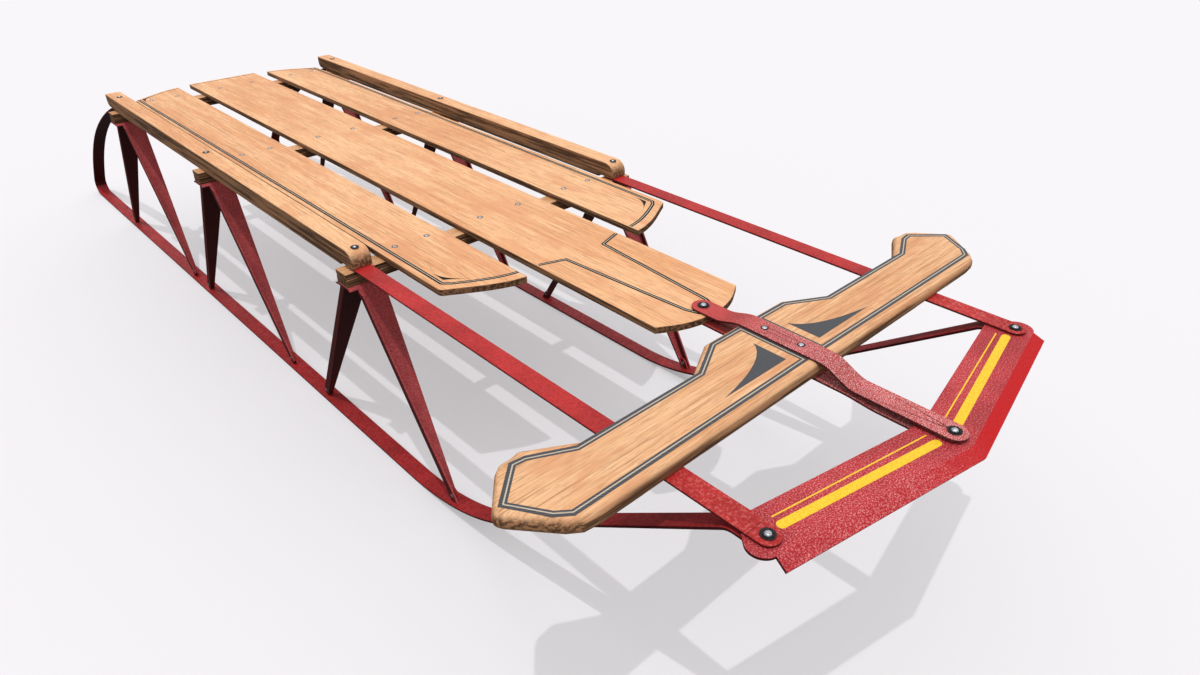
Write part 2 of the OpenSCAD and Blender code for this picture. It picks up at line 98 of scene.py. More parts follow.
def place(x, y, z):
    """A point given in millimetres, with y measured from the front bench."""
    return Vector((x * MM, BENCH_Y + y * MM, z * MM))


# ---- Mesh helpers ----


class Shape:
    """Vertices and faces of a piece while it is being built."""

    def __init__(self):
        self.points = []
        self.faces = []
        self.indices = []

    def add(self, points, faces, index=0):
        """Adds faces, with one material index for all of them or a list of one each."""
        base = len(self.points)
        self.points.extend(points)
        self.faces.extend([[base + i for i in f] for f in faces])
        self.indices.extend(index if isinstance(index, list) else [index] * len(faces))

    def build(self, name, materials, sharp_angle=35):
        """Makes the object, with its faces turned outwards and smooth up to the sharp angle."""
        mesh = bpy.data.meshes.new(name)
        mesh.from_pydata([place(*p) for p in self.points], [], self.faces)
        for material in materials:
            mesh.materials.append(material)
        mesh.polygons.foreach_set("material_index", self.indices)
        work = bmesh.new()
        work.from_mesh(mesh)
        bmesh.ops.recalc_face_normals(work, faces=work.faces)
        work.to_mesh(mesh)
        work.free()
        mesh.shade_smooth()
        mesh.set_sharp_from_angle(angle=math.radians(sharp_angle))
        obj = bpy.data.objects.new(name, mesh)
        bpy.context.scene.collection.objects.link(obj)
        return obj


def prism(shape, outline, low, high, index=0, across=False):
    """A plate with any outline: [x, y], thick in Z, or with across set [y, z], thick in X."""
    n = len(outline)
    if across:
        points = [(x, y, z) for x in (low, high) for y, z in outline]
    else:
        points = [(x, y, z) for z in (low, high) for x, y in outline]
    faces = [list(range(n)), list(range(n, 2 * n))]
    faces += [[i, (i + 1) % n, n + (i + 1) % n, n + i] for i in range(n)]
    shape.add(points, faces, index)


def offset_line(line, distance, closed=False):
    """The line moved sideways by distance, with mitred corners."""
    count = len(line)
    moved = []
    for i, (x, y) in enumerate(line):
        before = line[i - 1] if (i > 0 or closed) else None
        after = line[(i + 1) % count] if (i < count - 1 or closed) else None
        sides = []
        for a, b in ((before, (x, y)), ((x, y), after)):
            if a is None or b is None:
                continue
            length = math.hypot(b[0] - a[0], b[1] - a[1])
            sides.append(((a[1] - b[1]) / length, (b[0] - a[0]) / length))
        if len(sides) == 1:
            sides = sides * 2
        nx = sides[0][0] + sides[1][0]
        ny = sides[0][1] + sides[1][1]
        scale = 2 / (nx * nx + ny * ny)
        moved.append((x + nx * scale * distance, y + ny * scale * distance))
    return moved


INK_SUNK = 0.05
INK_PROUD = 0.06


def ribbon(shape, line, offset, width, z, closed=False, index=0):
    """A painted line: a thin band beside the given line."""
    left = offset_line(line, offset - width / 2, closed)
    right = offset_line(line, offset + width / 2, closed)
    n = len(line)
    points = []
    for side, height in ((left, -INK_SUNK), (right, -INK_SUNK), (left, INK_PROUD), (right, INK_PROUD)):
        points += [(x, y, z + height) for x, y in side]
    faces = []
    for i in range(n if closed else n - 1):
        j = (i + 1) % n
        faces.append([i, j, n + j, n + i])
        faces.append([2 * n + i, 3 * n + i, 3 * n + j, 2 * n + j])
        faces.append([i, 2 * n + i, 2 * n + j, j])
        faces.append([n + i, n + j, 3 * n + j, 3 * n + i])
    if not closed:
        for i in (0, n - 1):
            faces.append([i, n + i, 3 * n + i, 2 * n + i])
    shape.add(points, faces, index)


def curve(points, steps=10):
    """A quadratic curve through three points."""
    (x0, y0), (x1, y1), (x2, y2) = points
    cx = 2 * x1 - (x0 + x2) / 2
    cy = 2 * y1 - (y0 + y2) / 2
    out = []
    for i in range(steps + 1):
        t = i / steps
        u = 1 - t
        x = u * u * x0 + 2 * u * t * cx + t * t * x2
        y = u * u * y0 + 2 * u * t * cy + t * t * y2
        out.append((x, y))
    return out


def mirrored(points, side):
    """The points as drawn for the left side, or mirrored for the right, where side is -1."""
    return [(side * x, y) for x, y in points]


def arc(cx, cy, radius, a0, a1, steps):
    """Points along an arc, with its angles in degrees."""
    angles = [math.radians(a0 + (a1 - a0) * i / steps) for i in range(steps + 1)]
    return [(cx + radius * math.cos(a), cy + radius * math.sin(a)) for a in angles]


def soften(obj, width, segments=2, sharper_than=40):
    """Rounds a piece's sharp edges by a width in millimetres and keeps its flat faces flat."""
    soft = obj.modifiers.new("soft_edges", "BEVEL")
    soft.width = width * MM
    soft.segments = segments
    soft.limit_method = "ANGLE"
    soft.angle_limit = math.radians(sharper_than)
    soft.use_clamp_overlap = True
    normals = obj.modifiers.new("normals", "WEIGHTED_NORMAL")
    normals.mode = "FACE_AREA"
    normals.keep_sharp = False


# ---- Materials ----


MIX_A = 6
MIX_B = 7
MIX_RESULT = 2


class Graph:
    """A material and the nodes that make it."""

    def __init__(self, name):
        self.material = bpy.data.materials.new(name)
        self.material.use_nodes = True
        self.tree = self.material.node_tree
        self.tree.nodes.clear()
        output = self.tree.nodes.new("ShaderNodeOutputMaterial")
        self.bsdf = self.tree.nodes.new("ShaderNodeBsdfPrincipled")
        self.tree.links.new(self.bsdf.outputs["BSDF"], output.inputs["Surface"])
        self.coordinates = self.tree.nodes.new("ShaderNodeTexCoord").outputs["Object"]

    def feed(self, socket, value):
        """Links a socket to another, or sets it to a number or a colour."""
        if isinstance(value, bpy.types.NodeSocket):
            self.tree.links.new(value, socket)
        elif hasattr(value, "__len__") and len(value) == 3 and len(socket.default_value) == 4:
            socket.default_value = (*value, 1.0)
        else:
            socket.default_value = value

    def stretched(self, scale, shift=(0.0, 0.0, 0.0)):
        """Object coordinates, scaled along each axis."""
        node = self.tree.nodes.new("ShaderNodeMapping")
        self.feed(node.inputs["Vector"], self.coordinates)
        node.inputs["Scale"].default_value = scale
        node.inputs["Location"].default_value = shift
        return node.outputs["Vector"]

    def noise(self, vector, scale=1.0, detail=2.0, roughness=0.5, distortion=0.0):
        node = self.tree.nodes.new("ShaderNodeTexNoise")
        self.feed(node.inputs["Vector"], vector)
        node.inputs["Scale"].default_value = scale
        node.inputs["Detail"].default_value = detail
        node.inputs["Roughness"].default_value = roughness
        node.inputs["Distortion"].default_value = distortion
        return node.outputs["Fac"]

    def cells(self, vector, scale):
        node = self.tree.nodes.new("ShaderNodeTexVoronoi")
        node.feature = "SMOOTH_F1"
        self.feed(node.inputs["Vector"], vector)
        node.inputs["Scale"].default_value = scale
        return node.outputs["Distance"]

    def waves(self, vector, scale, distortion=0.0):
        node = self.tree.nodes.new("ShaderNodeTexWave")
        node.bands_direction = "DIAGONAL"
        self.feed(node.inputs["Vector"], vector)
        node.inputs["Scale"].default_value = scale
        node.inputs["Distortion"].default_value = distortion
        return node.outputs["Fac"]

    def between(self, value, low, high, to_low=0.0, to_high=1.0):
        """Value mapped from low..high to to_low..to_high, held at both ends."""
        node = self.tree.nodes.new("ShaderNodeMapRange")
        node.interpolation_type = "SMOOTHSTEP"
        self.feed(node.inputs["Value"], value)
        node.inputs["From Min"].default_value = low
        node.inputs["From Max"].default_value = high
        node.inputs["To Min"].default_value = to_low
        node.inputs["To Max"].default_value = to_high
        return node.outputs["Result"]

    def math(self, operation, a, b=0.0):
        node = self.tree.nodes.new("ShaderNodeMath")
        node.operation = operation
        self.feed(node.inputs[0], a)
        self.feed(node.inputs[1], b)
        return node.outputs[0]

    def mix(self, factor, a, b, blend="MIX"):
        """Colour a where the factor is 0 and b where it is 1."""
        node = self.tree.nodes.new("ShaderNodeMix")
        node.data_type = "RGBA"
        node.blend_type = blend
        self.feed(node.inputs["Factor"], factor)
        self.feed(node.inputs[MIX_A], a)
        self.feed(node.inputs[MIX_B], b)
        return node.outputs[MIX_RESULT]

    def part_of(self, vector, axis):
        split = self.tree.nodes.new("ShaderNodeSeparateXYZ")
        self.feed(split.inputs["Vector"], vector)
        return split.outputs[axis]

    def axis(self, name):
        """The place along one axis, in metres."""
        return self.part_of(self.coordinates, name)

    def upward(self):
        """How far the surface faces up: 1 on top, 0 on a side, -1 underneath."""
        geometry = self.tree.nodes.new("ShaderNodeNewGeometry")
        return self.part_of(geometry.outputs["Normal"], "Z")

    def bump(self, height, strength, distance):
        """Gives the surface a relief."""
        node = self.tree.nodes.new("ShaderNodeBump")
        node.inputs["Strength"].default_value = strength
        node.inputs["Distance"].default_value = distance
        self.feed(node.inputs["Height"], height)
        self.feed(self.bsdf.inputs["Normal"], node.outputs["Normal"])

    def finish(self, colour, roughness, specular=0.5, metallic=0.0):
        """Sets the surface and hands over the material."""
        self.feed(self.bsdf.inputs["Base Color"], colour)
        self.feed(self.bsdf.inputs["Roughness"], roughness)
        self.bsdf.inputs["Specular IOR Level"].default_value = specular
        self.bsdf.inputs["Metallic"].default_value = metallic
        return self.material


WOOD_PALE = (0.900, 0.590, 0.340)
WOOD_LIGHT = (0.790, 0.445, 0.222)
WOOD_WARM = (0.690, 0.325, 0.140)
WOOD_BROWN = (0.430, 0.195, 0.085)
WOOD_BLUSH = (0.640, 0.270, 0.120)
WOOD_PORE = (0.360, 0.170, 0.085)
SHADED_SIDE_LIGHT = (0.300, 0.150, 0.072)
SHADED_SIDE_DARK = (0.070, 0.034, 0.016)


def wood(name, along, seed, tone=1.0, side_shade_tone=1.0):
    """Oiled hardwood with its grain along one axis. The sides carry painted shade: darker than the
    face, with coarser grain.
    """
    g = Graph(name)

    def toned(colour):
        """A colour made lighter or darker by this wood's tone."""
        return [c * tone for c in colour]

    def grain(across, lengthways):
        """Coordinates stretched so that a pattern runs along the grain."""
        scale = [across, across, across]
        scale["XYZ".index(along)] = lengthways
        return g.stretched(scale, (seed * 3.1, seed * 1.7, seed * 2.3))

    cloud = g.noise(grain(11.0, 4.0), detail=3.0, roughness=0.6)
    figure = g.noise(grain(75.0, 3.0), detail=4.0, roughness=0.6, distortion=0.6)
    fibre = g.noise(grain(600.0, 13.0), detail=5.0, roughness=0.74)
    pores = g.noise(grain(1000.0, 66.0), detail=3.0, roughness=0.62)
    clouds = g.between(g.math("ADD", cloud, figure), 0.82, 1.18)
    face = g.mix(clouds, toned(WOOD_LIGHT), toned(WOOD_WARM))
    face = g.mix(g.between(fibre, 0.52, 0.64, 0.0, 0.72), face, toned(WOOD_PALE))
    face = g.mix(g.between(fibre, 0.49, 0.34, 0.0, 0.80), face, toned(WOOD_BROWN))
    face = g.mix(g.between(pores, 0.52, 0.68, 0.0, 0.50), face, WOOD_PORE)
    blush = g.noise(grain(34.0, 13.0), detail=3.0, roughness=0.6)
    face = g.mix(g.between(blush, 0.52, 0.64, 0.0, 0.52), face, toned(WOOD_BLUSH))
    streak = g.noise(grain(330.0, 9.0), detail=4.0, roughness=0.7)
    # Painted shade: faces that turn sideways take a dark colour streaked along the grain;
    # side_shade_tone makes it lighter or darker.
    dark = [c * side_shade_tone for c in SHADED_SIDE_DARK]
    edge = g.mix(g.between(streak, 0.42, 0.58), dark, [c * side_shade_tone for c in SHADED_SIDE_LIGHT])
    flat = g.math("ABSOLUTE", g.upward())
    side = g.between(flat, 0.10, 0.97, 1.0, 0.0)
    colour = g.mix(side, face, edge)
    height = g.math("SUBTRACT", g.math("MULTIPLY", fibre, 0.6), g.between(pores, 0.54, 0.72, 0.0, 0.7))
    g.bump(height, 0.35, 0.0006)
    return g.finish(colour, g.between(fibre, 0.3, 0.7, 0.46, 0.62), specular=0.35)


PAINT_GLOSS = (0.40, 0.58)


def paint(name, colour, glint_colour, grain_size, glint_share, relief, seed, glint_spread=None, lip=None):
    """Painted steel with a rough skin of paint. Glints are light flecks of painted highlight on the
    crests of its grain.
    Sides and undersides are darkened with painted shade. Glint_spread is (axis, place with fewest
    glints, place with most glints, least share of glints), and gathers the painted highlight where the
    light falls.
    Lip is the colour of a smooth sloping edge; the lip's near half keeps its painted glints."""
    g = Graph(name)
    place_in = g.stretched((1.0, 1.0, 1.0), (seed, seed * 0.7, seed * 1.3))
    crests = g.noise(place_in, 1.0 / grain_size, 3.0, 0.62)
    dents = g.cells(place_in, 0.55 / grain_size)
    patches = g.noise(place_in, 24.0, 3.0, 0.6)
    body = g.mix(g.between(patches, 0.35, 0.68), colour, [c * 0.74 for c in colour])
    # Painted shade in the hollows of the paint's grain.
    body = g.mix(g.between(crests, 0.30, 0.48, 0.45, 0.0), body, [c * 0.36 for c in colour])
    share = g.between(patches, 0.25, 0.6, glint_share, glint_share * 0.6)
    # Glints: light flecks of painted highlight on the grain's crests.
    glints = g.math("MULTIPLY", g.between(crests, 0.48, 0.66), share)
    if glint_spread:
        # Painted highlight: the glints grow from the unhighlit place towards the highlit one.
        axis, unhighlit, highlit, least = glint_spread
        use = g.between(g.axis(axis), unhighlit, highlit, least, 1.0)
        glints = g.math("MULTIPLY", glints, use)
    if lip:
        flat = g.between(g.upward(), 0.93, 0.97)
        # The lip's near half keeps its painted glints, as painted highlight; the far half takes the
        # plain lip colour.
        highlit = g.between(g.axis("X"), 0.03, -0.08, 0.0, 0.9)
        kept = g.math("MAXIMUM", flat, highlit)
        glints = g.math("MULTIPLY", glints, kept)
        body = g.mix(kept, lip, body)
    body = g.mix(glints, body, glint_colour)
    # Painted shade: sides and undersides darken almost to black.
    painted_side_shade = g.between(g.upward(), 0.05, 0.42, 0.88, 0.0)
    body = g.mix(painted_side_shade, body, [c * 0.09 + 0.002 for c in colour])
    g.bump(g.math("SUBTRACT", crests, g.math("MULTIPLY", dents, 0.5)), relief, grain_size * 0.5)
    gloss = g.between(crests, 0.35, 0.7, PAINT_GLOSS[1], PAINT_GLOSS[0])
    return g.finish(body, gloss, specular=0.22)


def bare_metal(name, light, dark, roughness):
    """Unpainted metal with fine scratches."""
    g = Graph(name)
    scratch = g.noise(g.stretched((900.0, 900.0, 900.0)), detail=4.0, roughness=0.7)
    colour = g.mix(g.between(scratch, 0.35, 0.65), dark, light)
    g.bump(scratch, 0.25, 0.0003)
    return g.finish(colour, g.between(scratch, 0.3, 0.7, roughness, roughness + 0.2), metallic=0.85)


def ink(name, light, dark, thread=0.0, sheen=0.3):
    """Printed paint, with the fine weave of a screen if thread gives its size."""
    g = Graph(name)
    speck = g.noise(g.stretched((1.0, 1.0, 1.0)), 700.0, 3.0, 0.65)
    if thread:
        weave = g.waves(g.stretched((1.0, 1.0, 1.0)), 1.0 / thread, 0.6)
        tone = g.between(g.math("ADD", weave, speck), 0.6, 1.3)
    else:
        tone = g.between(speck, 0.36, 0.58)
    g.bump(tone, 0.2, 0.0002)
    return g.finish(g.mix(tone, dark, light), g.between(speck, 0.3, 0.7, 0.5, 0.62), specular=sheen)


deck_woods = [wood(f"deck_wood_{i}", "Y", seed=1.0 + 4.0 * i) for i in range(3)]
rail_wood = wood("rail_wood", "Y", seed=17.0, side_shade_tone=1.2)
bench_wood = wood("bench_wood", "X", seed=23.0, tone=0.86, side_shade_tone=0.8)
bar_wood = wood("handle_wood", "X", seed=31.0, tone=0.91, side_shade_tone=1.8)
STEER_FRONT_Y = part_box("strap_upper")[0].y
STEER_REAR_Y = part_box("strap_upper")[1].y
SLED_FRONT_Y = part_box("side_bar_left")[0].y
# Where the painted glints gather on each part, towards the place of the highlight.
SIDE_BAR_GLINT_SPREAD = ("Y", SLED_FRONT_Y + 0.14, SLED_FRONT_Y + 0.03, 0.12)
STRAP_GLINT_SPREAD = ("Y", STEER_REAR_Y - 0.03, STEER_FRONT_Y + 0.14, 0.06)
BUMPER_GLINT_SPREAD = ("X", 0.16, -0.12, 0.70)
BUMPER_LIP = (0.500, 0.004, 0.006)
strip_paint = paint(
    "runner_paint", (0.345, 0.018, 0.020), (0.50, 0.10, 0.10),
    grain_size=0.0034, glint_share=0.25, relief=0.10, seed=3.0)
side_bar_paint = paint(
    "side_bar_paint", (0.455, 0.020, 0.020), (0.60, 0.20, 0.17),
    grain_size=0.0018, glint_share=0.60, relief=0.25, seed=5.0, glint_spread=SIDE_BAR_GLINT_SPREAD)
strap_paint = paint(
    "strap_paint", (0.470, 0.050, 0.046), (1.00, 0.70, 0.70),
    grain_size=0.0008, glint_share=1.0, relief=0.8, seed=7.0, glint_spread=STRAP_GLINT_SPREAD)
bumper_paint = paint(
    "bumper_paint", (0.440, 0.018, 0.024), (0.80, 0.34, 0.34),
    grain_size=0.0010, glint_share=0.85, relief=0.9, seed=11.0, glint_spread=BUMPER_GLINT_SPREAD, lip=BUMPER_LIP)
standard_paint = paint(
    "standard_paint", (0.450, 0.058, 0.062), (0.60, 0.20, 0.20),
    grain_size=0.0013, glint_share=0.50, relief=0.6, seed=13.0)
dome_metal = bare_metal("rivet_dome", (0.66, 0.68, 0.72), (0.26, 0.27, 0.30), roughness=0.22)
# Near-black metal: painted contact shade for the rims round the rivet domes, and for the washers and
# burrs.
rim_shade_metal = bare_metal("rivet_rim_shade", (0.055, 0.050, 0.055), (0.014, 0.013, 0.015), roughness=0.45)
THREAD = 0.0030
charcoal = ink("pinstripe_charcoal", (0.085, 0.088, 0.096), (0.030, 0.031, 0.036), THREAD)
board_charcoal = ink("pinstripe_dark", (0.020, 0.018, 0.018), (0.006, 0.006, 0.006), THREAD, sheen=0.08)
stripe_gap = ink("pinstripe_gap", (0.56, 0.48, 0.38), (0.42, 0.34, 0.26), THREAD)
yellow = ink("stripe_yellow", (0.84, 0.55, 0.025), (0.76, 0.42, 0.012))

# ---- CAD nodes that stay: their shape is right, so they get a finish and softened edges ----

# name: (material, slot, width of the softened edges in millimetres)
DRESSED = {
    "steering_bar": (bar_wood, "handle_wood", 0.0),
    "strap_upper": (strap_paint, "strap_steel", 0.3),
    "strap_lower": (strap_paint, "strap_steel", 0.3),
    "bumper": (bumper_paint, "bumper_steel", 0.3),
    "deck_rivet_burrs": (rim_shade_metal, "washer_steel", 0.0),
    "rail_rivet_burrs": (rim_shade_metal, "washer_steel", 0.0),
    "foot_rivets": (dome_metal, "rivet_steel", 0.0),
    "strap_pivot_washer": (rim_shade_metal, "washer_steel", 0.0),
    "bumper_washers": (rim_shade_metal, "washer_steel", 0.0),
}
for along_name in ("front", "middle", "rear"):
    for side_name, side in BOTH_SIDES:
        DRESSED[f"standard_{along_name}_{side_name}"] = (standard_paint, "standard_steel", 0.25)

WELD_GAP = 1e-5
LIP_FOLD = 18
CORNER_FOLD = 40
for node_name, (material, slot_name, edge) in DRESSED.items():
    node = nodes[node_name]
    node.data.materials.clear()
    node.data.materials.append(material)
    weld = node.modifiers.new("weld", "WELD")
    weld.merge_threshold = WELD_GAP
    if edge:
        soften(node, edge, sharper_than=LIP_FOLD if node_name == "bumper" else CORNER_FOLD)
    elif node_name == "steering_bar":
        round_look = node.modifiers.new("normals", "WEIGHTED_NORMAL")
        round_look.keep_sharp = False

# ---- Boards, rails and benches ----


def finished(shape, name, material, stands_for, edge):
    """A piece of wood that stands for one CAD node and rides on the sled."""
    piece = shape.build(name, [material])
    soften(piece, edge, 3)
    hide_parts(stands_for)
    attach(piece, "sled")


def span(node, axis):
    """A CAD node's lowest and highest place along an axis, in millimetres.
    Y is measured from the front bench."""
    low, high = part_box(node)
    shift = BENCH_Y if axis == "y" else 0.0
    return [(getattr(v, axis) - shift) / MM for v in (low, high)]


END_FALL = 33.0
END_STEPS = 12
BOARD_CORNER = 1.5
CORNER_SET_BACK = 3.0
BOARD_EDGE = 0.8


def board_end(y, s, u):
    """Y of a side board's curved end, at a share u of its width from the inner edge."""
    return y - s * END_FALL * (0.25 * u + 0.9 * u * u - 0.24 * u ** 4)


BOARD_X0, BOARD_X1 = span("deck_board_left", "x")
BOARD_W = BOARD_X1 - BOARD_X0
BOARD_NOSE_Y, BOARD_TAIL_Y = span("deck_board_left", "y")
side_board = []
for end_y, s, order in ((BOARD_NOSE_Y, -1, 1), (BOARD_TAIL_Y, 1, -1)):
    shares = [i / END_STEPS for i in range(END_STEPS + 1)]
    end = [(BOARD_X0 + u * (BOARD_W - BOARD_CORNER), board_end(end_y, s, u)) for u in shares]
    end.append((BOARD_X1, end[-1][1] - s * CORNER_SET_BACK))
    side_board += end[::order]
for i, (side_name, side) in enumerate(BOTH_SIDES):
    board = Shape()
    prism(board, mirrored(side_board, side), BENCH_TOP, DECK_TOP)
    name = f"deck_board_{side_name}"
    finished(board, f"oiled_board_{side_name}", deck_woods[2 * i], name, BOARD_EDGE)

CENTRE_NOSE_R = 78.0
CENTRE_NOSE_HALF_ANGLE = 33.0
CENTRE_SHOULDER = 17.0
half_w = span("deck_board_centre", "x")[1]
nose_y, centre_tail_y = span("deck_board_centre", "y")
nose_start = -90 - CENTRE_NOSE_HALF_ANGLE
nose_arc = arc(0, nose_y + CENTRE_NOSE_R, CENTRE_NOSE_R, nose_start, -180 - nose_start, 16)
centre_board = [(-half_w, centre_tail_y), (-half_w, nose_y + CENTRE_SHOULDER)] + nose_arc
centre_board += [(half_w, nose_y + CENTRE_SHOULDER), (half_w, centre_tail_y)]
board = Shape()
prism(board, centre_board, BENCH_TOP, DECK_TOP)
finished(board, "oiled_board_centre", deck_woods[1], "deck_board_centre", BOARD_EDGE)

RAIL_NOSE_R = 12.0
RAIL_TAIL_R = 8.0
RAIL_EDGE = 1.2
RELIEF_DEPTH = 2.6
RELIEF_FRONT = 13
RELIEF_REAR = BENCH_YS[2] - 12
TAIL_ROOM = BENCH_TOP + RELIEF_DEPTH
rail_front, rail_rear = span("side_rail_left", "y")
rail_outline = arc(rail_front + RAIL_NOSE_R, RAIL_TOP - RAIL_NOSE_R, RAIL_NOSE_R, 180, 90, 12)
rail_outline += [(rail_rear, RAIL_TOP)]
rail_outline += arc(rail_rear - RAIL_TAIL_R, TAIL_ROOM + RAIL_TAIL_R, RAIL_TAIL_R, 0, -90, 8)
rail_outline += [(RELIEF_REAR, TAIL_ROOM), (RELIEF_REAR, BENCH_TOP)]
rail_outline += [(RELIEF_FRONT, BENCH_TOP), (RELIEF_FRONT, TAIL_ROOM), (rail_front, TAIL_ROOM)]
for side_name, side in BOTH_SIDES:
    rail = Shape()
    name = f"side_rail_{side_name}"
    prism(rail, rail_outline, *span(name, "x"), across=True)
    finished(rail, f"oiled_rail_{side_name}", rail_wood, name, RAIL_EDGE)

BENCH_EDGE = 0.3
GROOVE_DEPTH = 0.8
GROOVE_LOW = BENCH_LOW + 7.15
GROOVE_HIGH = BENCH_LOW + 8.35
for along_name, bench_y in zip(("front", "middle", "rear"), BENCH_YS):
    name = f"bench_{along_name}"
    half = (span(name, "y")[1] - span(name, "y")[0]) / 2
    inner = half - GROOVE_DEPTH
    flank = [(half, BENCH_LOW), (half, GROOVE_LOW), (inner, GROOVE_LOW)]
    flank += [(inner, GROOVE_HIGH), (half, GROOVE_HIGH), (half, BENCH_TOP)]
    bench_outline = [(bench_y + y, z) for y, z in flank]
    bench_outline += [(bench_y - y, z) for y, z in flank[::-1]]
    bench = Shape()
    prism(bench, bench_outline, *span(name, "x"), across=True)
    finished(bench, f"bench_bar_{along_name}", bench_wood, name, BENCH_EDGE)

# ---- Runners: one strip each, from the rear bench round the tail and up to the bumper ----


def cos_deg(angle):
    """Cosine of an angle in degrees."""
    return math.cos(math.radians(angle))


def sin_deg(angle):
    """Sine of an angle in degrees."""
    return math.sin(math.radians(angle))


def bend(start, a0, a1, radius, steps):
    """Points [y, z, heading] along a bend in the side view."""
    s = 1 if a1 > a0 else -1
    cy = start[0] - s * radius * sin_deg(a0)
    cz = start[1] + s * radius * cos_deg(a0)
    out = []
    for i in range(steps + 1):
        a = a0 + (a1 - a0) * i / steps
        out.append((cy + s * radius * sin_deg(a), cz - s * radius * cos_deg(a), a))
    return out


TAIL_ANGLE = 18.5
MID_TAIL_ANGLE = 29.0
HEEL_ANGLE = 51.0
TAIL_BEND_R = 20.0
FIRST_TO_SECOND = 1.5
HEEL_R = 13.5
RISE_START = -55.0
RISE_R = 277.0
RISE_ANGLE = 35.6
NOSE_BEND_R = 15.0
CORNER_Y = -454.0
TAIL_END_AHEAD = 9.0
TAIL_START_BEHIND = 16.0
RIVET_ROOM_R = 3.9
STEP = 7.0
SHORTEST_STEP = 1e-4


def runner_path():
    """The strip's middle line: points [y, z, heading] from the rear bench to the bumper."""
    mid = STRIP_T / 2
    start = (BENCH_YS[2] + TAIL_START_BEHIND, BENCH_TOP + mid)
    tail_bend = bend(start, 0, -TAIL_ANGLE, TAIL_BEND_R, 5)
    drop = tail_bend[-1][1] - mid - HEEL_R * (1 + cos_deg(HEEL_ANGLE))
    gentle = FIRST_TO_SECOND * (cos_deg(TAIL_ANGLE) - cos_deg(MID_TAIL_ANGLE))
    tail_r = drop / (gentle + cos_deg(MID_TAIL_ANGLE) - cos_deg(HEEL_ANGLE))
    sweep_start = bend(tail_bend[-1], -TAIL_ANGLE, -MID_TAIL_ANGLE, tail_r * FIRST_TO_SECOND, 16)
    sweep = bend(sweep_start[-1], -MID_TAIL_ANGLE, -HEEL_ANGLE, tail_r, 24)
    heel = bend(sweep[-1], -HEEL_ANGLE, -180, HEEL_R, 20)
    rise = bend((RISE_START, mid), -180, -180 - RISE_ANGLE, RISE_R, 26)
    nose_mid = NOSE_LOW + STRIP_T / 2
    rise_y, rise_z, rise_heading = rise[-1]
    straight = (nose_mid - NOSE_BEND_R * (1 - cos_deg(RISE_ANGLE)) - rise_z) / sin_deg(RISE_ANGLE)
    top_y = rise_y - straight * cos_deg(RISE_ANGLE)
    top = (top_y, rise_z + straight * sin_deg(RISE_ANGLE), rise_heading)
    nose = bend(top, -180 - RISE_ANGLE, -180, NOSE_BEND_R, 8)
    end = (CORNER_Y + STRIP_W / 2, nose_mid, -180)
    path = [(BENCH_YS[2] - TAIL_END_AHEAD, start[1], 0)]
    for part in (tail_bend, sweep_start, sweep, heel, rise, [top], nose, [end]):
        for q in part:
            gap_y = q[0] - path[-1][0]
            gap_z = q[1] - path[-1][1]
            length = math.hypot(gap_y, gap_z)
            if length < SHORTEST_STEP:
                continue
            pieces = max(1, math.ceil(length / STEP))
            for i in range(1, pieces):
                path.append((path[-1][0] + gap_y / pieces, path[-1][1] + gap_z / pieces, q[2]))
            path.append(q)
    return path


EDGE_CUT = 0.35


def strip(shape, path, x, width, thickness):
    """A flat strip with softened edges along a path in the side view."""
    h = thickness / 2
    w = width / 2
    c = EDGE_CUT
    section = [(-w + c, -h), (w - c, -h), (w, -h + c), (w, h - c)]
    section += [(w - c, h), (-w + c, h), (-w, h - c), (-w, -h + c)]
    n = len(section)
    points = []
    for y, z, heading in path:
        for across, up in section:
            points.append((x + across, y - up * sin_deg(heading), z + up * cos_deg(heading)))
    faces = []
    for i in range(len(path) - 1):
        for j in range(n):
            k = (j + 1) % n
            faces.append([i * n + j, i * n + k, (i + 1) * n + k, (i + 1) * n + j])
    last = (len(path) - 1) * n
    faces.append(list(range(n)))
    faces.append([last + j for j in range(n)])
    shape.add(points, faces)


def strip_eye(shape, x, y, width, z_low, z_high, hole_r):
    """The rounded front end of a strip, with the hole for its rivet."""
    steps = 40
    r = width / 2
    c = EDGE_CUT
    corners = 6
    points = []
    for i in range(steps):
        a = 2 * math.pi * i / steps
        ca, sa = math.cos(a), math.sin(a)
        reach = r if sa <= 0 else r / max(abs(ca), abs(sa))
        hole = (x + hole_r * ca, y + hole_r * sa)
        rim = (x + reach * ca, y + reach * sa)
        soft = (x + (rim[0] - x) * (1 - c / r), y + (rim[1] - y) * (1 - c / r))
        points += [(*hole, z_low), (*soft, z_low), (*rim, z_low + c)]
        points += [(*rim, z_high - c), (*soft, z_high), (*hole, z_high)]
    faces = []
    for i in range(steps):
        j = (i + 1) % steps
        for k in range(corners):
            m = (k + 1) % corners
            faces.append([i * corners + k, i * corners + m, j * corners + m, j * corners + k])
    shape.add(points, faces)


# Standards' feet, as in the CAD part.
FOOT_SPREAD = 125.0
LEG_TOP_HALF = 11.0
LEG_SKIN = 1.2
LEG_FOOT_X = TRACK_X + 4
PLATE_T = 2.0
PLATE_Z = BENCH_LOW - PLATE_T
LEG_TAN = (FOOT_SPREAD + LEG_SKIN - LEG_TOP_HALF) / (PLATE_Z + PLATE_T / 2 - STRIP_T)
LUG_H = 13.0
LUG_CORNER = 2.0
LUG_ROOT = 1.5
LUG_INSET = (3.0, 9.0)
LUG_FACES_X = (LEG_FOOT_X - 5.2, LEG_FOOT_X - 2.5)


def leg_y(z, distance):
    """How far a leg's face, or a line beside it, is from its bench at a height."""
    return FOOT_SPREAD - (z - STRIP_T) * LEG_TAN + distance


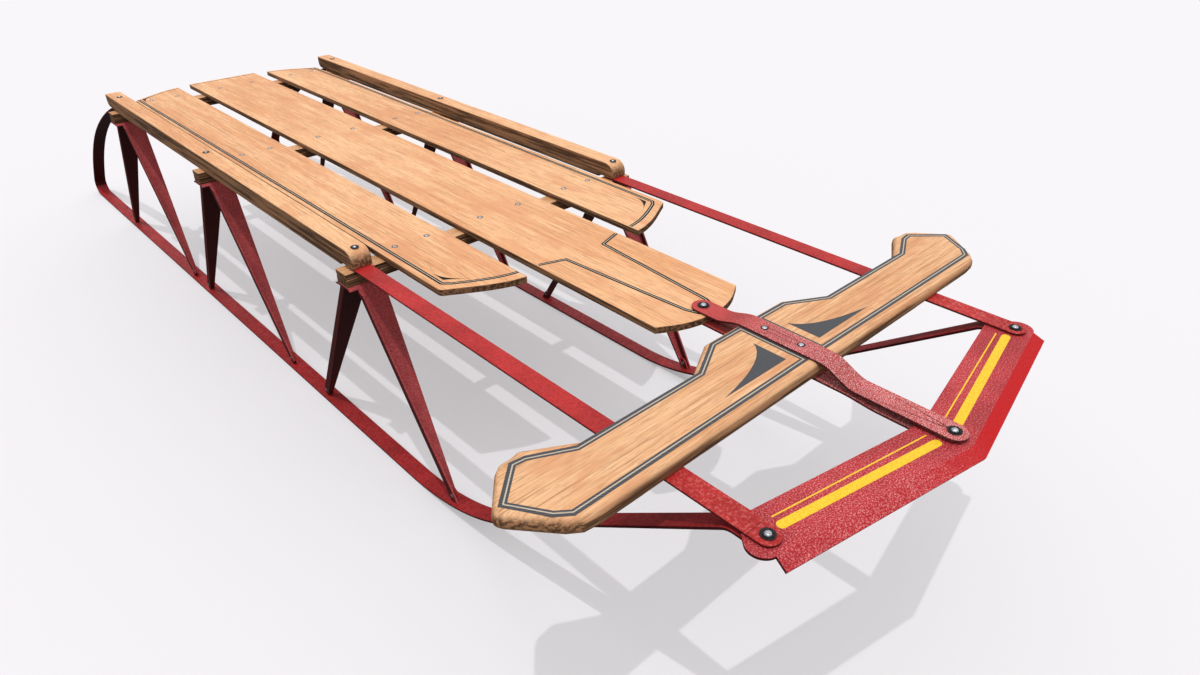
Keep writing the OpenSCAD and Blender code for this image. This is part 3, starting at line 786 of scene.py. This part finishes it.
def snow_face(y):
    """Height of the runner's upper face where it lies on the snow or starts to rise."""
    if y > RISE_START:
        return STRIP_T
    return STRIP_T + RISE_R - math.sqrt(RISE_R * RISE_R - (RISE_START - y) ** 2)


def lug(shape, side, bench_y, s):
    """A small upright lug behind a standard's foot."""
    z = snow_face(bench_y + s * leg_y(STRIP_T, LUG_INSET[0]))
    z = snow_face(bench_y + s * leg_y(z, LUG_INSET[0])) - LUG_ROOT
    near, far = LUG_INSET
    outline = [(z, near), (z, far), (z + LUG_H - LUG_CORNER, far), (z + LUG_H, far - LUG_CORNER)]
    outline += [(z + LUG_H, near)]
    outline = [(bench_y + s * leg_y(h, d), h) for h, d in outline]
    prism(shape, outline, *[side * x for x in LUG_FACES_X], across=True)


NOSE_BEND = (-138.0, -185.0)
SIDE_BAR_BEND = (-2.0, -70.0)
BAR_STEPS = 60

for side_name, side in BOTH_SIDES:
    runner = Shape()
    strip(runner, runner_path(), side * TRACK_X, STRIP_W, STRIP_T)
    strip_eye(runner, side * TRACK_X, CORNER_Y, STRIP_W, NOSE_LOW, NOSE_LOW + STRIP_T, RIVET_ROOM_R)
    for bench_y in BENCH_YS:
        for s in (-1, 1):
            lug(runner, side, bench_y, s)
    piece = runner.build(f"runner_strip_{side_name}", [strip_paint])
    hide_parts(f"runner_{side_name}", f"runner_nose_{side_name}")
    start, end = (place(side * TRACK_X, y, 0) for y in NOSE_BEND)
    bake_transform(piece)

    bar = Shape()
    bar_mid = (SIDE_BAR_LOW + SIDE_BAR_TOP) / 2
    bar_end = CORNER_Y + STRIP_W / 2
    bar_path = [(bar_end * i / BAR_STEPS, bar_mid, 180) for i in range(BAR_STEPS + 1)]
    strip(bar, bar_path, side * TRACK_X, STRIP_W, SIDE_BAR_TOP - SIDE_BAR_LOW)
    strip_eye(bar, side * TRACK_X, CORNER_Y, STRIP_W, SIDE_BAR_LOW, SIDE_BAR_TOP, RIVET_ROOM_R)
    piece = bar.build(f"side_bar_strip_{side_name}", [side_bar_paint])
    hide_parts(f"side_bar_{side_name}")
    start, end = (place(side * TRACK_X, y, 0) for y in SIDE_BAR_BEND)
    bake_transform(piece)

# ---- Rivets: a bright dome inside a dark rim of painted contact shade, on a shank with a clenched tail ----

RIVET_SIDES = 24
RIM_SHARE = 0.42
TAIL_SPREAD = (1.45, 1.35)


def rivet(shape, x, y, z_head, z_tail, shank_r, head_r, head_h, rim):
    """One rivet. Rim is the share of the head's radius that is dark, as painted contact shade."""
    dome_r = head_r * (1 - rim)
    rim_h = head_h * RIM_SHARE
    foot = rim_h * 0.4
    profile = [(0.0, head_h)]
    for i in range(1, 5):
        a = math.radians(90 * i / 4)
        profile.append((dome_r * math.sin(a), foot + (head_h - foot) * math.cos(a)))
    dome_faces = len(profile) - 1
    profile += [(dome_r + 0.25, rim_h * 0.35), (dome_r + 0.45, rim_h)]
    profile += [(head_r - 0.25, rim_h), (head_r, foot), (head_r, 0.0), (shank_r, 0.0)]
    depth = z_tail - z_head
    tail_low = depth - head_h
    profile += [(shank_r, depth), (shank_r * TAIL_SPREAD[0], depth)]
    profile += [(shank_r * TAIL_SPREAD[1], tail_low), (0.0, tail_low)]
    points = [(x, y, z_head + profile[0][1])]
    for r, z in profile[1:-1]:
        for i in range(RIVET_SIDES):
            a = 2 * math.pi * i / RIVET_SIDES
            points.append((x + r * math.cos(a), y + r * math.sin(a), z_head + z))
    points.append((x, y, z_head + profile[-1][1]))
    rows = len(profile) - 2
    bright, dark = [], []
    for i in range(RIVET_SIDES):
        j = (i + 1) % RIVET_SIDES
        bright.append([0, 1 + i, 1 + j])
        for row in range(rows - 1):
            a = 1 + row * RIVET_SIDES
            b = a + RIVET_SIDES
            target = bright if row < dome_faces - 1 else dark
            target.append([a + i, b + i, b + j, a + j])
        a = 1 + (rows - 1) * RIVET_SIDES
        dark.append([a + i, len(points) - 1, a + j])
    shape.add(points, bright + dark, [0] * len(bright) + [1] * len(dark))


DECK_RIVET_XS = (24.0, 86.5, 121.0)
BURR_T = 0.8
STRAP_GAP = 0.3
STRAP_T = 2.0
STRAP_STEP = STRAP_T + STRAP_GAP
LOWER_STRAP_Z = BENCH_TOP - STRAP_STEP
LIFT = 0.1
WASHER_T = 0.5
CORNER_WASHER_T = LIFT + WASHER_T
STRAP_PIVOT_Y = -270.0
BUMPER_PIVOT_Y = -483.0
BAR_RIVET_YS = (-330.0, -363.0)
deck_places = [(s * x, y) for y in BENCH_YS for x in DECK_RIVET_XS for _, s in BOTH_SIDES]
rail_places = [(s * TRACK_X, y) for y in BENCH_YS for _, s in BOTH_SIDES]
bar_places = [(0, y) for y in BAR_RIVET_YS]
corner_places = [(s * TRACK_X, CORNER_Y) for _, s in BOTH_SIDES]
strap_rear_top = DECK_TOP + STRAP_GAP + STRAP_T + LIFT + WASHER_T
strap_front_top = BENCH_TOP + STRAP_STEP + STRAP_T + LIFT + WASHER_T
strap_front_low = LOWER_STRAP_Z - STRAP_T - LIFT

# Rivet sizes: (shank radius, head radius, head height, dark share of the head).
DECK_HEAD = (2.0, 2.9, 0.6, 0.24)
RAIL_HEAD = (2.2, 3.8, 1.2, 0.54)
BAR_HEAD = (2.2, 3.0, 1.1, 0.26)
BIG_HEAD = (2.4, 3.8, 1.5, 0.34)
pivot_places = [(0, STRAP_PIVOT_Y)]
bumper_places = [(0, BUMPER_PIVOT_Y)]
corner_top = SIDE_BAR_TOP + CORNER_WASHER_T
corner_low = NOSE_LOW - CORNER_WASHER_T

# name: (places, head's base, tail's face, sizes, body)
RIVETS = {
    "deck_rivets": (deck_places, DECK_TOP, BENCH_LOW - BURR_T, DECK_HEAD, "sled"),
    "rail_rivets": (rail_places, RAIL_TOP, PLATE_Z - BURR_T, RAIL_HEAD, "sled"),
    "strap_pivot_rivet": (pivot_places, strap_rear_top, LOWER_STRAP_Z - LIFT, BIG_HEAD, "sled"),
    "bar_rivets": (bar_places, STRAP_TOP, LOWER_STRAP_Z, BAR_HEAD, "steering"),
    "bumper_pivot_rivet": (bumper_places, strap_front_top, strap_front_low, BIG_HEAD, "bumper"),
    "bumper_corner_rivets": (corner_places, corner_top, corner_low, BIG_HEAD, "bumper"),
}
RIVET_SHARP_ANGLE = 50
for name, (places, head, tail, sizes, body) in RIVETS.items():
    shape = Shape()
    for x, y in places:
        rivet(shape, x, y, head, tail, *sizes)
    piece = shape.build(f"domed_{name}", [dome_metal, rim_shade_metal], RIVET_SHARP_ANGLE)
    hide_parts(name)
    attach(piece, body)

# ---- Painted lines ----

# Bands of a pinstripe: (offset from its line, width, material index).
BAR_BANDS = ((-1.35, 2.3, 0), (0.25, 1.0, 1), (1.55, 1.6, 0))
BOARD_BANDS = ((-1.20, 1.7, 0), (0.05, 0.8, 1), (1.15, 1.4, 0))


def pinstripe(shape, line, z, closed=False, outer=1, bands=BOARD_BANDS):
    """A broad and a narrow charcoal line with a pale gap between them."""
    for offset, width, index in bands:
        ribbon(shape, line, outer * offset, width, z, closed, index)


def spandrel(shape, corner, arm_a, arm_b, middle, z):
    """A filled corner whose third side is a hollow curve."""
    prism(shape, [corner] + curve([arm_a, middle, arm_b]), z - INK_SUNK, z + INK_PROUD)


# Steering bar
bar_lines = Shape()
BAR_LOOP = [(11.5, -316.5), (44, -316.5), (79, -335.5), (195, -335.5), (224.6, -321), (234, -320)]
BAR_LOOP += [(259, -343), (243, -368), (234, -375), (224, -375), (11.5, -374)]
BAR_SPANDREL = [(21, -365), (21, -335.7), (89.4, -364.7), (43, -353.0)]
for _, side in BOTH_SIDES:
    loop = mirrored(BAR_LOOP, side)
    pinstripe(bar_lines, loop, BAR_TOP, closed=True, outer=-side, bands=BAR_BANDS)
    spandrel(bar_lines, *mirrored(BAR_SPANDREL, side), BAR_TOP)
piece = bar_lines.build("pinstripes_bar", [charcoal, stripe_gap])
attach(piece, "steering")

# Side boards
NOSE_INSET = 11.5
TAIL_INSET = 6.0
THIN = ((0.0, 1.2, 0),)
LINE_STEPS = 12
LINE_START = 0.012
LINE_SHARE = 0.86
LONG_RUN_X = (130.0, 133.0)
LONG_RUN_FRONT_Y = -90.0
LONG_RUN_PAST_REAR = 1.0
NOSE_SPANDREL = [(125.5, -85.5), (125.5, -70.0), (104.8, -100.3), (119.5, -86.5)]
# Here y is measured from the rear line's outer end.
TAIL_SPANDREL = [(129.0, -1.5), (129.0, -22.0), (112.0, 9.0), (125.0, -3.0)]
for side_name, side in BOTH_SIDES:
    board_lines = Shape()
    shares = [LINE_START + LINE_SHARE * i / LINE_STEPS for i in range(LINE_STEPS + 1)]
    front = [(BOARD_X0 + u * BOARD_W, board_end(BOARD_NOSE_Y, -1, u) + NOSE_INSET) for u in shares]
    rear = [(BOARD_X0 + u * BOARD_W, board_end(BOARD_TAIL_Y, 1, u) - TAIL_INSET) for u in shares]
    rear_y = rear[-1][1]
    long_run = [(LONG_RUN_X[0], LONG_RUN_FRONT_Y), (LONG_RUN_X[1], rear_y + LONG_RUN_PAST_REAR)]
    long_line = front[:-1] + long_run
    pinstripe(board_lines, mirrored(long_line, side), DECK_TOP, outer=side)
    pinstripe(board_lines, mirrored(rear, side), DECK_TOP, bands=THIN)
    spandrel(board_lines, *mirrored(NOSE_SPANDREL, side), DECK_TOP)
    tail_corner = [(x, rear_y + y) for x, y in TAIL_SPANDREL]
    spandrel(board_lines, *mirrored(tail_corner, side), DECK_TOP)
    piece = board_lines.build(f"pinstripes_board_{side_name}", [board_charcoal, stripe_gap])
    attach(piece, "sled")

# Centre board
centre_lines = Shape()
TONGUE = [(48.0, -120.0), (23.0, -128.5), (12.5, -262.0), (8.5, -273.0), (3.0, -277.0)]
tongue = TONGUE + mirrored(TONGUE[::-1], -1)
pinstripe(centre_lines, tongue, DECK_TOP, outer=-1)
REAR_LINE_HALF = 46.0
tail_y = centre_tail_y - TAIL_INSET
pinstripe(centre_lines, [(-REAR_LINE_HALF, tail_y), (REAR_LINE_HALF, tail_y)], DECK_TOP, bands=THIN)
piece = centre_lines.build("pinstripes_board_centre", [board_charcoal, stripe_gap])
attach(piece, "sled")


def round_ended(line, width, steps=8):
    """Outline of a broad line with round ends."""
    (x0, y0), (x1, y1) = line
    heading = math.atan2(y1 - y0, x1 - x0)
    out = []
    for cx, cy, turn in ((x1, y1, -math.pi / 2), (x0, y0, math.pi / 2)):
        for i in range(steps + 1):
            a = heading + turn + math.pi * i / steps
            out.append((cx + width / 2 * math.cos(a), cy + width / 2 * math.sin(a)))
    return out


# Bumper
bumper_lines = Shape()
BROAD_STRIPE = ([(146.0, -453.5), (14.0, -479.0)], 6.5)
FINE_STRIPE = ([(145.0, -446.0), (12.0, -470.5)], 1.0)
for _, side in BOTH_SIDES:
    for line, width in (BROAD_STRIPE, FINE_STRIPE):
        outline = round_ended(mirrored(line, side), width)
        prism(bumper_lines, outline, BUMPER_TOP - INK_SUNK, BUMPER_TOP + INK_PROUD)
piece = bumper_lines.build("stripes_bumper", [yellow])
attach(piece, "bumper")

# ---- Floor and light ----

FLOOR_HALF = 40.0
FLOOR_COLOUR = (0.480, 0.469, 0.482)
FLOOR_GLOW = (1.0, 0.975, 1.0, 1.0)
FLOOR_GLOW_STRENGTH = 0.315
FLOOR_ROUGHNESS = 0.9
BACKDROP = (0.959, 0.933, 0.962, 1.0)
floor_mesh = bpy.data.meshes.new("floor")
floor_corners = [(-FLOOR_HALF, -FLOOR_HALF, 0), (FLOOR_HALF, -FLOOR_HALF, 0)]
floor_corners += [(FLOOR_HALF, FLOOR_HALF, 0), (-FLOOR_HALF, FLOOR_HALF, 0)]
floor_mesh.from_pydata(floor_corners, [], [[0, 1, 2, 3]])
floor = bpy.data.objects.new("floor", floor_mesh)
bpy.context.scene.collection.objects.link(floor)
floor_graph = Graph("floor")
floor_graph.bsdf.inputs["Emission Color"].default_value = FLOOR_GLOW
floor_graph.bsdf.inputs["Emission Strength"].default_value = FLOOR_GLOW_STRENGTH
floor_mesh.materials.append(floor_graph.finish(FLOOR_COLOUR, FLOOR_ROUGHNESS, specular=0.0))
floor.visible_diffuse = False
floor.visible_glossy = False

SUN_FROM = Vector((-0.186, -0.12, 1.0))
SUN_ENERGY = 1.1
SUN_SPREAD = 0.8
sun_data = bpy.data.lights.new("sun", "SUN")
sun_data.energy = SUN_ENERGY
sun_data.angle = math.radians(SUN_SPREAD)
sun = bpy.data.objects.new("sun", sun_data)
sun.rotation_mode = "QUATERNION"
sun.rotation_quaternion = SUN_FROM.to_track_quat("Z", "Y")
bpy.context.scene.collection.objects.link(sun)

# Brightness of the surroundings by height: 0 is straight down, 0.5 the horizon, 1 straight up.
SKY = ((0.00, 0.07), (0.49, 0.10), (0.56, 0.42), (0.72, 0.98), (1.00, 1.12))
world = bpy.data.worlds.new("studio")
bpy.context.scene.world = world
world.use_nodes = True
sky_tree = world.node_tree
sky_tree.nodes.clear()
sky_out = sky_tree.nodes.new("ShaderNodeOutputWorld")
sky_light = sky_tree.nodes.new("ShaderNodeBackground")
sky_place = sky_tree.nodes.new("ShaderNodeTexCoord")
sky_split = sky_tree.nodes.new("ShaderNodeSeparateXYZ")
sky_height = sky_tree.nodes.new("ShaderNodeMapRange")
sky_ramp = sky_tree.nodes.new("ShaderNodeValToRGB")
sky_height.inputs["From Min"].default_value = -1.0
while len(sky_ramp.color_ramp.elements) < len(SKY):
    sky_ramp.color_ramp.elements.new(0.5)
for element, (position, level) in zip(sky_ramp.color_ramp.elements, SKY):
    element.position = position
    element.color = (level, level * 0.99, level, 1.0)
sky_tree.links.new(sky_place.outputs["Generated"], sky_split.inputs["Vector"])
sky_tree.links.new(sky_split.outputs["Z"], sky_height.inputs["Value"])
sky_tree.links.new(sky_height.outputs["Result"], sky_ramp.inputs["Fac"])
sky_tree.links.new(sky_ramp.outputs["Color"], sky_light.inputs["Color"])
# The camera sees the backdrop in the floor's own pale tone, so there is no horizon.
seen_light = sky_tree.nodes.new("ShaderNodeBackground")
seen_light.inputs["Color"].default_value = BACKDROP
which_ray = sky_tree.nodes.new("ShaderNodeLightPath")
sky_mix = sky_tree.nodes.new("ShaderNodeMixShader")
sky_tree.links.new(which_ray.outputs["Is Camera Ray"], sky_mix.inputs["Fac"])
sky_tree.links.new(sky_light.outputs["Background"], sky_mix.inputs[1])
sky_tree.links.new(seen_light.outputs["Background"], sky_mix.inputs[2])
sky_tree.links.new(sky_mix.outputs["Shader"], sky_out.inputs["Surface"])
bpy.context.scene.view_settings.view_transform = "Standard"
